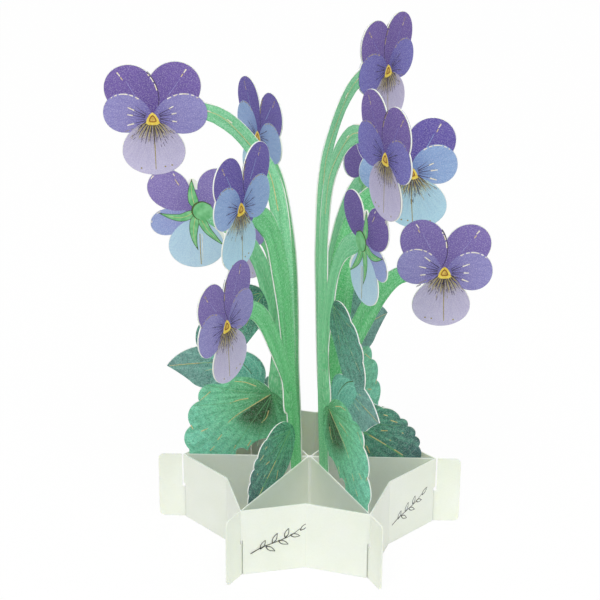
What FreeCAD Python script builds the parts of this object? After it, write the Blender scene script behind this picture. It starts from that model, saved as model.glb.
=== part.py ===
import FreeCAD, Part
import math
import os

# Pop up card of violas: a star of white card with six die-cut plants, standing open.
# Millimetres, +Z up. The origin is on the table under the centre of the star.
# Seen from the front, +X is right and +Y is away from the viewer.

# Driving sizes of the white base
CARD = 0.4                # thickness of every sheet of card
HEIGHT = 25.0             # height of the white walls
STAR_RADIUS = 44.0        # centre to each of the six outer corners
FOLD_RADIUS = 32.4        # centre to the fold in the middle of each outer wall
TAB_RADIUS = 53.0         # centre to the end of each tab outside the star
REAR_TAB_RADIUS = 47.5    # the same for the two rear arms
TAB_ROUNDING = 2.0        # rounded corners of the tabs
CREST_WIDTH = 1.2         # flat glued strip between the two folds of each V
SLOT_WIDTH = 1.5          # slot from the top of each arm
SLOT_FLOOR = 12.0         # height at which that slot ends
SLIT_WIDTH = 1.2          # slit from the bottom of each corner of the outer wall
SLIT_TOP = 13.5           # height at which that slit ends
GLUE_FLAP = 8.0           # overlap that closes the outer wall, at the back
FLAP_SETBACK = 1.0        # flap to the fold beside it

# Driving sizes of the glued foot of each plant
FOOT_BOTTOM = 6.0         # lower edge of the foot, behind the white strip
FOOT_BELOW_EDGE = 0.3     # top of the foot, below the top of the white strip
SEAM_HEIGHT = 0.5         # upright band of a plant just below the top of the white strip

# Direction of each arm in the plan, in degrees from +X, as the card stands
ARM_ANGLE = {
    "right": 0.0,
    "rear_right": 56.0,
    "rear_left": 120.0,
    "left": 180.0,
    "front_left": 240.0,
    "front_right": 298.0,
}

# How each paper plant stands: lean about the top of the wall, turn in its own plane
PLANT_STANCE = {
    "right": (1.7, 1.6),
    "rear_right": (-0.7, 1.3),
    "rear_left": (-0.4, -0.2),
    "left": (-3.0, -1.6),
    "front_left": (1.4, -1.7),
    "front_right": (0.0, 0.0),
}
TURN_PIVOT = 8.0          # distance out from the centre of the point a plant turns about
PLANT_RISE = 148.2        # top of the tallest plant above the top of the white walls

# Side of the white strip that each plant is glued to, +1 is anticlockwise
GLUED_SIDE = {
    "right": 1,
    "rear_right": -1,
    "rear_left": 1,
    "left": -1,
    "front_left": -1,
    "front_right": 1,
}

# Artwork of the two plants, in millimetres: distance out from the centre, height.
# A petal is centre out, centre up, direction of its tip, length, width.
DRAWN_WALL = 25.0         # height of the top of the white wall in the artwork
DRAWN_RISE = 148.2        # top of the tallest plant above that line in the artwork
PETAL_FULLNESS = 0.82     # under 1 sets the widest part of a petal nearer its tip
PETAL_POINTS = 12
ARC_TOLERANCE = 0.05      # how closely the arcs follow a smooth outline

TALL_PLANT_PETALS = [
    (53.8, 162.2, 57.0, 20.8, 16.8),
    (41.6, 162.7, 124.0, 22.0, 17.0),
    (56.0, 155.4, 10.0, 16.0, 14.0),
    (38.9, 155.1, 172.0, 17.6, 14.4),
    (48.2, 143.3, 270.0, 19.4, 20.6),
    (43.6, 127.6, 52.0, 16.6, 13.6),
    (28.4, 128.0, 112.0, 15.6, 13.4),
    (44.0, 116.8, 340.0, 14.0, 9.8),
    (36.0, 108.6, 268.0, 18.2, 18.6),
]
TALL_PLANT_SEPALS = [
    (36.0, 126.6, 86.0, 11.0, 4.0),
    (29.8, 114.0, 236.0, 14.0, 2.8),
]
# The heart of a flower, where its petals overlap: centre out, centre up, radius
TALL_PLANT_HEARTS = [(48.0, 153.4, 3.0), (35.8, 122.3, 6.0)]
TALL_STEM = [
    (6.8, 20.0), (5.6, 36.0), (4.3, 58.0), (4.0, 86.0), (4.4, 108.0),
    (7.4, 132.0), (14.6, 146.0), (24.0, 156.0), (34.0, 159.5),
    (35.5, 154.0), (29.5, 152.3), (21.0, 145.3), (13.2, 131.0), (10.3, 112.0),
    (10.4, 94.0), (11.0, 60.0), (13.4, 20.0),
]
TALL_SIDE_STEM = [
    (7.0, 82.0), (10.5, 96.0), (12.9, 102.6), (17.2, 111.2), (24.4, 119.2), (33.0, 122.6),
    (34.5, 117.0), (28.9, 113.9), (21.9, 108.4), (17.2, 99.2), (15.0, 89.0),
    (13.0, 80.0), (11.8, 66.0), (12.0, 50.0), (8.0, 50.0),
]
# A leaf is its first point, then arcs, each a point on the way and the point where it ends
ROUND_LEAF = (
    (12.5, 50.8), [
        ((23.8, 57.0), (30.5, 53.9)),
        ((36.4, 52.8), (37.8, 47.3)),
        ((41.4, 43.6), (41.0, 37.3)),
        ((43.6, 33.0), (42.1, 27.8)),
        (None, (42.1, 20.0)),
        (None, (26.0, 20.0)),
        (None, (25.9, 26.2)),
        ((24.4, 28.2), (21.8, 27.0)),
        ((18.4, 31.0), (14.2, 32.2)),
        ((10.0, 37.6), (8.6, 44.5)),
        ((9.6, 48.6), (12.5, 50.8)),
    ])
CURLED_LEAF = (
    (15.2, 54.0), [
        ((15.3, 62.0), (22.0, 67.2)),
        (None, (36.5, 69.2)),
        ((42.6, 67.0), (48.2, 61.6)),
        ((44.6, 59.0), (40.6, 55.6)),
        ((38.4, 53.6), (35.5, 52.6)),
        (None, (15.2, 54.0)),
    ])
LONG_LEAF = (
    (12.8, 80.5), [
        ((13.4, 87.0), (15.6, 91.6)),
        ((22.0, 92.7), (27.4, 89.0)),
        ((31.0, 87.3), (33.3, 84.0)),
        ((35.7, 81.8), (36.0, 78.2)),
        ((37.8, 73.4), (37.0, 68.0)),
        (None, (24.0, 65.0)),
        ((18.6, 72.6), (12.8, 80.5)),
    ])

SHORT_PLANT_PETALS = [
    (41.2, 142.4, 63.0, 19.8, 15.8),
    (26.0, 141.8, 115.0, 19.8, 15.4),
    (42.9, 135.6, 8.0, 15.2, 14.2),
    (26.2, 133.4, 174.0, 16.0, 14.4),
    (37.2, 122.0, 272.0, 18.4, 19.6),
    (53.5, 105.0, 55.0, 19.2, 14.8),
    (40.0, 106.0, 112.0, 20.5, 15.4),
    (54.8, 96.8, 2.0, 15.6, 14.6),
    (38.1, 98.5, 165.0, 15.2, 13.4),
    (45.4, 85.4, 270.0, 18.4, 19.6),
]
SHORT_PLANT_HEARTS = [(34.5, 132.6, 8.4), (46.3, 96.6, 4.0)]
SHORT_STEM = [
    (4.5, 20.0), (5.1, 38.0), (6.5, 58.0), (6.8, 78.0), (8.2, 98.0),
    (12.3, 114.0), (18.0, 125.0), (25.0, 130.0),
    (30.0, 126.0), (21.8, 116.0), (18.6, 103.0), (15.8, 88.0), (14.0, 70.0),
    (12.4, 45.0), (11.2, 20.0),
]
SHORT_SIDE_STEM = [
    (9.0, 64.0), (14.8, 77.2), (18.4, 85.0), (24.8, 94.2), (31.0, 98.5), (37.0, 99.4),
    (37.0, 93.6), (31.7, 92.0), (26.6, 85.5), (22.2, 77.0), (18.0, 68.2),
    (14.5, 58.0), (13.2, 48.0), (9.0, 48.0),
]
OVAL_LEAF = (
    (11.4, 43.4), [
        ((19.6, 46.5), (25.8, 44.2)),
        ((29.3, 43.3), (31.8, 40.0)),
        ((33.6, 39.5), (34.2, 36.9)),
        ((36.4, 35.9), (36.8, 33.0)),
        ((38.4, 31.4), (38.1, 28.8)),
        ((39.0, 26.6), (38.8, 24.0)),
        (None, (38.8, 20.0)),
        (None, (18.6, 20.0)),
        (None, (18.6, 24.8)),
        ((12.4, 28.2), (9.4, 33.0)),
        ((8.3, 38.5), (11.4, 43.4)),
    ])

# Which plant stands on which arm: they take turns round the star
TALL_ARMS = ["left", "front_right", "rear_right"]
SHORT_ARMS = ["right", "front_left", "rear_left"]


def vector(x, y, z=0.0):
    return FreeCAD.Vector(x, y, z)


def direction(angle_deg):
    angle = math.radians(angle_deg)
    return vector(math.cos(angle), math.sin(angle))


def crest_offset(arm):
    """How far in front of or behind the left-right strip the middle of a V's crest lies."""
    if arm in ("left", "right"):
        return 0.0
    if arm.startswith("front"):
        return -CARD
    return CARD


def arm_start(arm):
    """Point in the plan where the white strip of this arm leaves the middle."""
    if arm in ("left", "right"):
        return vector(0.0, 0.0)
    side = 1.0 if arm.endswith("right") else -1.0
    return vector(side * CREST_WIDTH / 2.0, crest_offset(arm))


def arm_point(arm, reach):
    """Point on the line of an arm, at this distance out from the centre of the star."""
    start = arm_start(arm)
    out = direction(ARM_ANGLE[arm])
    return start + out * (reach - start.dot(out))


def tab_end(arm):
    """Point in the plan where the tab of this arm ends."""
    return arm_point(arm, REAR_TAB_RADIUS if arm.startswith("rear") else TAB_RADIUS)


def arm_placement(arm):
    """Places a shape drawn as x out from the centre, y across and z up onto an arm."""
    turn = FreeCAD.Rotation(vector(0, 0, 1), ARM_ANGLE[arm])
    return FreeCAD.Placement(arm_point(arm, 0.0), turn)


# White base

def side_points(points, offset, closed):
    """The line through these points moved sideways, with its corners mitred."""
    count = len(points)
    moved = []
    for i in range(count):
        before = points[i - 1] if (i > 0 or closed) else None
        after = points[(i + 1) % count] if (i < count - 1 or closed) else None
        normals = []
        if before is not None:
            run = (points[i] - before).normalize()
            normals.append(vector(-run.y, run.x))
        if after is not None:
            run = (after - points[i]).normalize()
            normals.append(vector(-run.y, run.x))
        if len(normals) == 1:
            moved.append(points[i] + normals[0] * offset)
        else:
            middle = (normals[0] + normals[1]).normalize()
            moved.append(points[i] + middle * (offset / middle.dot(normals[0])))
    return moved


def polygon_face(points):
    return Part.Face(Part.makePolygon(points + [points[0]]))


def folded_wall(points, closed):
    """A strip of card stood on edge along these points, as one solid."""
    left = side_points(points, CARD / 2.0, closed)
    right = side_points(points, -CARD / 2.0, closed)
    if closed:
        left_face = polygon_face(left)
        right_face = polygon_face(right)
        if left_face.Area > right_face.Area:
            plan = left_face.cut(right_face)
        else:
            plan = right_face.cut(left_face)
    else:
        plan = polygon_face(left + right[::-1])
    return plan.extrude(vector(0, 0, HEIGHT))


def round_tabs(wall, arms):
    """Rounds the upper and lower corner at the end of each of these arms."""
    corners = []
    for edge in wall.Edges:
        middle = edge.CenterOfMass
        level_end = min(abs(middle.z), abs(middle.z - HEIGHT)) < CARD / 10.0
        for arm in arms:
            end = tab_end(arm)
            end.z = middle.z
            if level_end and (middle - end).Length < CARD / 10.0:
                corners.append(edge)
    return wall.makeFillet(TAB_ROUNDING, corners)


def cut_slots(wall, arms):
    """Cuts the slot from the top in which each arm holds the outer wall."""
    for arm in arms:
        slot = Part.makeBox(SLOT_WIDTH, 10 * CARD, HEIGHT)
        slot.translate(vector(STAR_RADIUS - SLOT_WIDTH / 2.0, -5 * CARD, SLOT_FLOOR))
        slot.Placement = arm_placement(arm).multiply(slot.Placement)
        wall = wall.cut(slot)
    return wall


def make_strip(arms, points):
    strip = folded_wall(points, closed=False).removeSplitter()
    strip = round_tabs(strip, arms)
    return cut_slots(strip, arms)


def make_left_right_strip():
    points = [
        tab_end("left"),
        arm_start("left"),
        tab_end("right"),
    ]
    return make_strip(["left", "right"], points)


def make_v_strip(left_arm, right_arm):
    points = [
        tab_end(left_arm),
        arm_start(left_arm),
        arm_start(right_arm),
        tab_end(right_arm),
    ]
    return make_strip([left_arm, right_arm], points)


def ring_points():
    """Corners and middle folds of the outer wall, anticlockwise from the right."""
    arms = sorted(ARM_ANGLE, key=ARM_ANGLE.get)
    points = []
    for i, arm in enumerate(arms):
        angle = ARM_ANGLE[arm]
        following = ARM_ANGLE[arms[(i + 1) % len(arms)]]
        if following <= angle:
            following += 360.0
        points.append(arm_point(arm, STAR_RADIUS))
        points.append(direction((angle + following) / 2.0) * FOLD_RADIUS)
    return points


def make_glue_flap(points):
    """The overlap inside the outer wall, beside the fold at the back."""
    rear_fold = max((p for p in points if p.Length < STAR_RADIUS - CARD), key=lambda p: p.y)
    corner = arm_point("rear_right", STAR_RADIUS)
    run = (corner - rear_fold).normalize()
    inward = vector(run.y, -run.x)
    if inward.dot(rear_fold) > 0:
        inward = inward * -1.0
    near = rear_fold + run * FLAP_SETBACK + inward * (CARD / 2.0)
    far = near + run * GLUE_FLAP
    face = polygon_face([near, far, far + inward * CARD, near + inward * CARD])
    return face.extrude(vector(0, 0, HEIGHT))


def make_outer_wall():
    points = ring_points()
    wall = folded_wall(points, closed=True)
    wall = wall.fuse(make_glue_flap(points))
    for arm in ARM_ANGLE:
        slit = Part.makeBox(STAR_RADIUS - FOLD_RADIUS, SLIT_WIDTH, HEIGHT)
        slit.translate(vector(FOLD_RADIUS, -SLIT_WIDTH / 2.0, SLIT_TOP - HEIGHT))
        slit.Placement = arm_placement(arm).multiply(slit.Placement)
        reach = Part.makeBox(2 * TAB_ROUNDING, SLIT_WIDTH, HEIGHT)
        reach.translate(vector(STAR_RADIUS, -SLIT_WIDTH / 2.0, SLIT_TOP - HEIGHT))
        reach.Placement = arm_placement(arm).multiply(reach.Placement)
        wall = wall.cut(slit.fuse(reach))
    return wall.removeSplitter()


# Die-cut plants, drawn flat as x out from the centre and z up

def flat(point):
    return vector(point[0], 0.0, point[1])


def smooth_edges(points, closed=False):
    """A smooth line through these points, as a chain of arcs that run into each other."""
    curve = Part.BSplineCurve()
    curve.interpolate(Points=points, PeriodicFlag=closed)
    return [arc.toShape() for arc in curve.toBiArcs(ARC_TOLERANCE)]


def petal_face(petal):
    """An egg-shaped petal by formula, narrow at its base and full at its tip."""
    centre_out, centre_up, tip_deg, length, width = petal
    along = vector(math.cos(math.radians(tip_deg)), 0.0, math.sin(math.radians(tip_deg)))
    across = vector(-along.z, 0.0, along.x)
    centre = vector(centre_out, 0.0, centre_up)
    rim = []
    for i in range(PETAL_POINTS):
        turn = 2.0 * math.pi * i / PETAL_POINTS
        share = ((1.0 - math.cos(turn)) / 2.0) ** PETAL_FULLNESS
        rim.append(centre + along * (length * (share - 0.5)) + across * (width / 2.0 * math.sin(turn)))
    return Part.Face(Part.Wire(smooth_edges(rim, closed=True)))


def heart_face(heart):
    centre_out, centre_up, radius = heart
    rim = Part.makeCircle(radius, flat((centre_out, centre_up)), vector(0, 1, 0))
    return Part.Face(Part.Wire(rim))


def leaf_face(leaf):
    start, runs = leaf
    edges = []
    here = flat(start)
    for via, end in runs:
        there = flat(end)
        if via is None:
            edges.append(Part.makeLine(here, there))
        else:
            edges.append(Part.Arc(here, flat(via), there).toShape())
        here = there
    return Part.Face(Part.Wire(edges))


def stem_face(outline, turn_at):
    """A stem with one smooth edge up to its head, a straight end and a smooth edge down."""
    rising = smooth_edges([flat(p) for p in outline[:turn_at]])
    falling = smooth_edges([flat(p) for p in outline[turn_at:]])
    head = Part.makeLine(flat(outline[turn_at - 1]), flat(outline[turn_at]))
    base = Part.makeLine(flat(outline[-1]), flat(outline[0]))
    return Part.Face(Part.Wire(rising + [head] + falling + [base]))


def upright_band(bottom, top):
    """A flat rectangle in the plane of the artwork, wider than any plant."""
    reach = 4 * STAR_RADIUS
    corners = [(-reach, bottom), (reach, bottom), (reach, top), (-reach, top)]
    return polygon_face([flat(c) for c in corners])


def thicken(artwork):
    """Gives flat artwork the thickness of the card, measured level and across."""
    artwork.translate(vector(0.0, -CARD / 2.0, 0.0))
    return artwork.extrude(vector(0.0, CARD, 0.0))


def make_plant(arm, faces):
    """Joins the flat artwork, turns and leans it, and adds the foot that is glued down."""
    lean, turn = PLANT_STANCE[arm]
    artwork = faces[0].fuse(faces[1:]).removeSplitter()
    artwork.translate(vector(0.0, 0.0, HEIGHT - DRAWN_WALL))
    artwork.scale(PLANT_RISE / DRAWN_RISE, vector(TURN_PIVOT, 0.0, HEIGHT))
    artwork.rotate(vector(TURN_PIVOT, 0.0, HEIGHT), vector(0, -1, 0), turn)
    free = artwork.common(upright_band(HEIGHT, 10 * HEIGHT))
    free.rotate(vector(0.0, 0.0, HEIGHT), vector(1, 0, 0), lean)
    seam = artwork.common(upright_band(HEIGHT - SEAM_HEIGHT, HEIGHT))
    inner = seam.BoundBox.XMin
    outer = seam.BoundBox.XMax
    foot_top = HEIGHT - FOOT_BELOW_EDGE
    foot = polygon_face([
        flat((inner, FOOT_BOTTOM)), flat((outer, FOOT_BOTTOM)),
        flat((outer, foot_top)), flat((inner, foot_top))])
    glued = thicken(seam.fuse(foot).removeSplitter())
    plant = glued.fuse(thicken(free)).removeSplitter()
    plant.translate(vector(0.0, GLUED_SIDE[arm] * CARD, 0.0))
    plant.Placement = arm_placement(arm).multiply(plant.Placement)
    return plant


def make_tall_plant(arm):
    faces = [petal_face(p) for p in TALL_PLANT_PETALS + TALL_PLANT_SEPALS]
    faces += [heart_face(h) for h in TALL_PLANT_HEARTS]
    faces.append(stem_face(TALL_STEM, 9))
    faces.append(stem_face(TALL_SIDE_STEM, 6))
    faces += [leaf_face(leaf) for leaf in (ROUND_LEAF, CURLED_LEAF, LONG_LEAF)]
    return make_plant(arm, faces)


def make_short_plant(arm):
    faces = [petal_face(p) for p in SHORT_PLANT_PETALS]
    faces += [heart_face(h) for h in SHORT_PLANT_HEARTS]
    faces.append(stem_face(SHORT_STEM, 8))
    faces.append(stem_face(SHORT_SIDE_STEM, 6))
    faces.append(leaf_face(OVAL_LEAF))
    return make_plant(arm, faces)


def save(name, shape):
    solids = shape.Solids
    if len(solids) != 1 or not shape.isValid():
        raise ValueError(name + " is not one valid solid")
    solids[0].exportStep(os.path.join("parts", name + ".step"))
    box = solids[0].BoundBox
    print(name, "volume %.1f" % solids[0].Volume,
          "x %.1f..%.1f" % (box.XMin, box.XMax),
          "y %.1f..%.1f" % (box.YMin, box.YMax),
          "z %.1f..%.1f" % (box.ZMin, box.ZMax))


os.makedirs("parts", exist_ok=True)
save("outer_wall", make_outer_wall())
save("left_right_strip", make_left_right_strip())
save("front_v_strip", make_v_strip("front_left", "front_right"))
save("rear_v_strip", make_v_strip("rear_left", "rear_right"))
for tall_arm in TALL_ARMS:
    save("plant_" + tall_arm, make_tall_plant(tall_arm))
for short_arm in SHORT_ARMS:
    save("plant_" + short_arm, make_short_plant(short_arm))
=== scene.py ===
import bpy
import math
import random
from mathutils import Matrix, Vector


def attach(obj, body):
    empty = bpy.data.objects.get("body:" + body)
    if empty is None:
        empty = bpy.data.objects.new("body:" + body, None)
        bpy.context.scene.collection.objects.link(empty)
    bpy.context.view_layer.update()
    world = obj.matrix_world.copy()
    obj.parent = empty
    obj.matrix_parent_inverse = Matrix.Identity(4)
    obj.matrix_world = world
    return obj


# Pop up card of violas: white star of card, six die-cut plants with print on both faces.
# The CAD sheets stay as they are. The print is thin fields of ink laid on their faces.

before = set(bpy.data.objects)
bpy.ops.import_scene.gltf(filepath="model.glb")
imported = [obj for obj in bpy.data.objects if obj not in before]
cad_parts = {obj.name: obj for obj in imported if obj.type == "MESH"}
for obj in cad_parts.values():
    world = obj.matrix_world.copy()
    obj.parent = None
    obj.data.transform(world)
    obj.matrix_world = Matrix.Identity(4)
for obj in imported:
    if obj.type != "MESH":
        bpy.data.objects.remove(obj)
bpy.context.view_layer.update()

MM = 0.001
CARD = 0.4
HEIGHT = 25.0
STAR_RADIUS = 44.0
FOLD_RADIUS = 32.4
CREST_WIDTH = 1.2
TURN_PIVOT = 8.0          # a plant turns in its plane about this distance out, at HEIGHT
PETAL_FULLNESS = 0.82
MAP_UNIT = 20.0           # millimetres to 1 unit of the ink map

ARM_ANGLE = {
    "right": 0.0, "rear_right": 56.0, "rear_left": 120.0,
    "left": 180.0, "front_left": 240.0, "front_right": 298.0,
}
PLANT_STANCE = {
    "right": (1.7, 1.6), "rear_right": (-0.7, 1.3), "rear_left": (-0.4, -0.2),
    "left": (-3.0, -1.6), "front_left": (1.4, -1.7), "front_right": (0.0, 0.0),
}
GLUED_SIDE = {
    "right": 1, "rear_right": -1, "rear_left": 1,
    "left": -1, "front_left": -1, "front_right": 1,
}

PRINT_BOTTOM = 25.06      # the print starts just above the white wall
FIRST_LAYER = 0.012       # lowest ink above the card
LAYER = 0.004             # one field of ink above the next
INSET = 0.12              # ink stops this far inside the cut edge


# Colours as they look on the card, 0 to 255

def colour(red, green, blue):
    linear = []
    for value in (red, green, blue):
        share = value / 255.0
        linear.append(share / 12.92 if share <= 0.04045 else ((share + 0.055) / 1.055) ** 2.4)
    return (linear[0], linear[1], linear[2], 1.0)


class Graph:
    """A material's nodes, written as short calls."""

    def __init__(self, name):
        self.material = bpy.data.materials.new(name)
        self.material.use_nodes = True
        self.tree = self.material.node_tree
        self.tree.nodes.clear()

    def node(self, kind, values=(), **settings):
        made = self.tree.nodes.new(kind)
        for key, value in settings.items():
            setattr(made, key, value)
        for place, value in enumerate(values):
            self.put(made.inputs[place], value)
        return made

    def put(self, socket, value):
        if value is None:
            return
        if isinstance(value, bpy.types.NodeSocket):
            self.tree.links.new(value, socket)
        else:
            socket.default_value = value

    def math(self, operation, first, second=None):
        return self.node("ShaderNodeMath", (first, second), operation=operation).outputs[0]

    def scaled(self, vector, x, y):
        made = self.node("ShaderNodeVectorMath", (vector, (x, y, 1.0)), operation="MULTIPLY")
        return made.outputs[0]

    def joined(self, x, y):
        return self.node("ShaderNodeCombineXYZ", (x, y, 0.0)).outputs[0]

    def noise(self, vector, scale, detail=2.0, roughness=0.5):
        made = self.node("ShaderNodeTexNoise")
        self.put(made.inputs["Vector"], vector)
        made.inputs["Scale"].default_value = scale
        made.inputs["Detail"].default_value = detail
        made.inputs["Roughness"].default_value = roughness
        return made.outputs["Fac"]

    def ramp(self, factor, stops):
        made = self.node("ShaderNodeValToRGB", (factor,))
        elements = made.color_ramp.elements
        while len(elements) < len(stops):
            elements.new(0.5)
        for element, (place, shade) in zip(elements, stops):
            element.position = place
            element.color = shade
        return made.outputs[0]

    def mix(self, factor, first, second):
        made = self.node("ShaderNodeMix", data_type="RGBA")
        self.put(made.inputs[0], factor)
        self.put(made.inputs[6], first)
        self.put(made.inputs[7], second)
        return made.outputs[2]

    def span(self, value, low, high, to_low=0.0, to_high=1.0):
        made = self.node("ShaderNodeMapRange", (value, low, high, to_low, to_high))
        return made.outputs[0]

    def finish(self, base, roughness, bump=None, height=0.0, metallic=0.0, specular=0.3, glow=0.0):
        shader = self.node("ShaderNodeBsdfPrincipled")
        shader.inputs["Subsurface Weight"].default_value = glow
        shader.inputs["Subsurface Radius"].default_value = (1.0, 0.92, 0.7)
        shader.inputs["Subsurface Scale"].default_value = 0.5 * MM
        self.put(shader.inputs["Base Color"], base)
        self.put(shader.inputs["Roughness"], roughness)
        shader.inputs["Metallic"].default_value = metallic
        shader.inputs["Specular IOR Level"].default_value = specular
        if bump is not None:
            made = self.node("ShaderNodeBump")
            made.inputs["Strength"].default_value = 0.35
            made.inputs["Distance"].default_value = height
            self.put(made.inputs["Height"], bump)
            self.tree.links.new(made.outputs[0], shader.inputs["Normal"])
        output = self.node("ShaderNodeOutputMaterial")
        self.tree.links.new(shader.outputs[0], output.inputs[0])
        return self.material


def white_card_material(name):
    g = Graph(name)
    place = g.node("ShaderNodeTexCoord").outputs["Object"]
    cloud = g.noise(place, 60.0, 3.0)
    fibre = g.noise(place, 1800.0, 4.0, 0.7)
    base = g.ramp(cloud, [(0.3, colour(238, 243, 231)), (0.7, colour(244, 248, 239))])
    base = g.mix(g.span(fibre, 0.3, 0.75, 0.0, 0.16), base, colour(216, 217, 202))
    return g.finish(base, g.span(fibre, 0.3, 0.7, 0.72, 0.86), fibre, 0.00006,
                    specular=0.25, glow=0.5)


def grain(g, place, base, amount, dark, scale=46.0, lift=0.5):
    """Stipple and cloudiness of watercolour printed on uncoated card."""
    cloud = g.noise(place, 5.0, 3.0, 0.6)
    dots = g.noise(place, scale, 3.0, 0.8)
    base = g.mix(g.span(cloud, 0.4, 0.7, 0.0, amount), base, dark)
    lighter = g.mix(lift, base, colour(248, 246, 244))
    base = g.mix(g.span(dots, 0.5, 0.64, 0.0, amount * 2.2), base, lighter)
    return g.mix(g.span(dots, 0.48, 0.36, 0.0, amount * 1.6), base, dark), dots


def petal_ink(name, near, middle, rim, dark, streak=0.35, throat=None):
    """Ink of a petal. Its map has the heart of the flower at 0,0 and 1 is 20 mm."""
    g = Graph(name)
    place = g.node("ShaderNodeUVMap", uv_map="ink").outputs[0]
    parts = g.node("ShaderNodeSeparateXYZ", (place,)).outputs
    reach = g.math("SQRT", g.math("ADD", g.math("MULTIPLY", parts[0], parts[0]),
                                  g.math("MULTIPLY", parts[1], parts[1])))
    angle = g.math("ARCTAN2", parts[0], parts[1])
    base = g.ramp(reach, [(0.08, near), (0.45, middle), (0.98, rim)])
    rays = g.noise(g.joined(g.math("MULTIPLY", angle, 7.0), g.math("MULTIPLY", reach, 1.1)),
                   2.2, 3.0, 0.6)
    fade = g.span(reach, 0.05, 1.0, streak, streak * 0.35)
    base = g.mix(g.math("MULTIPLY", g.span(rays, 0.45, 0.68), fade), base, dark)
    if throat is not None:
        yellow, lines = throat
        glow = g.noise(place, 44.0, 2.0, 0.8)
        speck = g.span(glow, 0.3, 0.7, -0.4, 0.4)
        edge = g.math("ADD", g.span(reach, 0.12, 0.5, 1.0, 0.0), speck)
        near_axis = g.span(g.math("ABSOLUTE", angle), 0.7, 1.5, 1.0, 0.0)
        base = g.mix(g.math("MULTIPLY", g.span(edge, 0.3, 0.8, 0.0, 0.8), near_axis), base, yellow)
        comb = g.noise(g.joined(g.math("MULTIPLY", angle, 22.0), g.math("MULTIPLY", reach, 0.8)),
                       2.0, 2.0, 0.6)
        cloud = g.math("SUBTRACT", g.span(reach, 0.3, 0.62, 0.85, 0.0),
                       g.math("MULTIPLY", speck, 1.3))
        base = g.mix(g.math("MULTIPLY", g.span(cloud, 0.55, 0.95, 0.0, 0.5), near_axis),
                     base, lines)
        amount = g.math("MULTIPLY", g.span(comb, 0.5, 0.62), g.span(reach, 0.12, 0.8, 0.6, 0.0))
        base = g.mix(g.math("MULTIPLY", amount, near_axis), base, lines)
    base, dots = grain(g, place, base, 0.22, dark)
    return g.finish(base, 0.78, dots, 0.00003)


def stem_ink(name, light, dark, line):
    """Ink of a stem. Its map runs across it from 0 to 1 and along it with 1 as 20 mm."""
    g = Graph(name)
    place = g.node("ShaderNodeUVMap", uv_map="ink").outputs[0]
    across = g.node("ShaderNodeSeparateXYZ", (place,)).outputs[0]
    base = g.ramp(across, [(0.05, light), (0.55, dark), (0.75, light), (1.0, dark)])
    streaks = g.noise(g.scaled(place, 7.0, 0.4), 1.6, 3.0, 0.6)
    base = g.mix(g.span(streaks, 0.42, 0.66, 0.0, 0.8), base, dark)
    thin = g.noise(g.scaled(place, 14.0, 0.5), 1.0, 2.0, 0.5)
    base = g.mix(g.span(thin, 0.56, 0.68, 0.0, 0.6), base, line)
    rim = g.math("ABSOLUTE", g.math("SUBTRACT", across, 0.5))
    base = g.mix(g.span(rim, 0.4, 0.5, 0.0, 0.35), base, line)
    base, dots = grain(g, g.scaled(place, 0.4, 1.0), base, 0.3, line, 34.0)
    return g.finish(base, 0.78, dots, 0.00003)


def leaf_ink(name, near, middle, rim, dark, light, veins=9.0, shade=None):
    """Ink of a leaf. Its map has the foot of the leaf at 0,0, its middle line up, 1 is 20 mm."""
    g = Graph(name)
    place = g.node("ShaderNodeUVMap", uv_map="ink").outputs[0]
    parts = g.node("ShaderNodeSeparateXYZ", (place,)).outputs
    reach = g.math("SQRT", g.math("ADD", g.math("MULTIPLY", parts[0], parts[0]),
                                  g.math("MULTIPLY", parts[1], parts[1])))
    angle = g.math("ARCTAN2", parts[0], parts[1])
    base = g.ramp(g.math("MULTIPLY", reach, 0.6), [(0.06, near), (0.42, middle), (0.9, rim)])
    rays = g.noise(g.joined(g.math("MULTIPLY", angle, veins), g.math("MULTIPLY", reach, 0.9)),
                   1.3, 3.0, 0.55)
    fade = g.span(reach, 0.25, 1.2, 0.62, 0.28)
    base = g.mix(g.math("MULTIPLY", g.span(rays, 0.48, 0.64), fade), base, dark)
    base = g.mix(g.math("MULTIPLY", g.span(rays, 0.46, 0.34), fade), base, light)
    blotch = g.noise(place, 13.0, 4.0, 0.7)
    base = g.mix(g.span(blotch, 0.5, 0.62, 0.0, 0.4), base, dark)
    base = g.mix(g.span(blotch, 0.46, 0.36, 0.0, 0.35), base, light)
    if shade is not None:
        below_vein = g.math("MULTIPLY", g.span(angle, -0.26, -0.16),
                            g.span(angle, 0.15, 1.0, 1.0, 0.0))
        deep = g.math("MULTIPLY", below_vein, g.span(reach, 0.25, 0.95, 1.0, 0.0))
        cloud = g.noise(place, 9.0, 3.0, 0.6)
        cover = g.math("MULTIPLY", g.span(deep, 0.02, 0.45), g.span(cloud, 0.3, 0.6, 0.65, 1.0))
        base = g.mix(cover, base, shade)
    base, dots = grain(g, place, base, 0.34, dark, 40.0, 0.3)
    return g.finish(base, 0.78, dots, 0.00003)


def plain_ink(name, first, second, roughness=0.7, metallic=0.0, scale=1120.0):
    """Ink of small marks and lines, with a slight change of tone along them."""
    g = Graph(name)
    place = g.node("ShaderNodeTexCoord").outputs["Object"]
    tone = g.noise(place, scale, 2.0)
    return g.finish(g.mix(g.span(tone, 0.35, 0.65), first, second), roughness, metallic=metallic)


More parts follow.
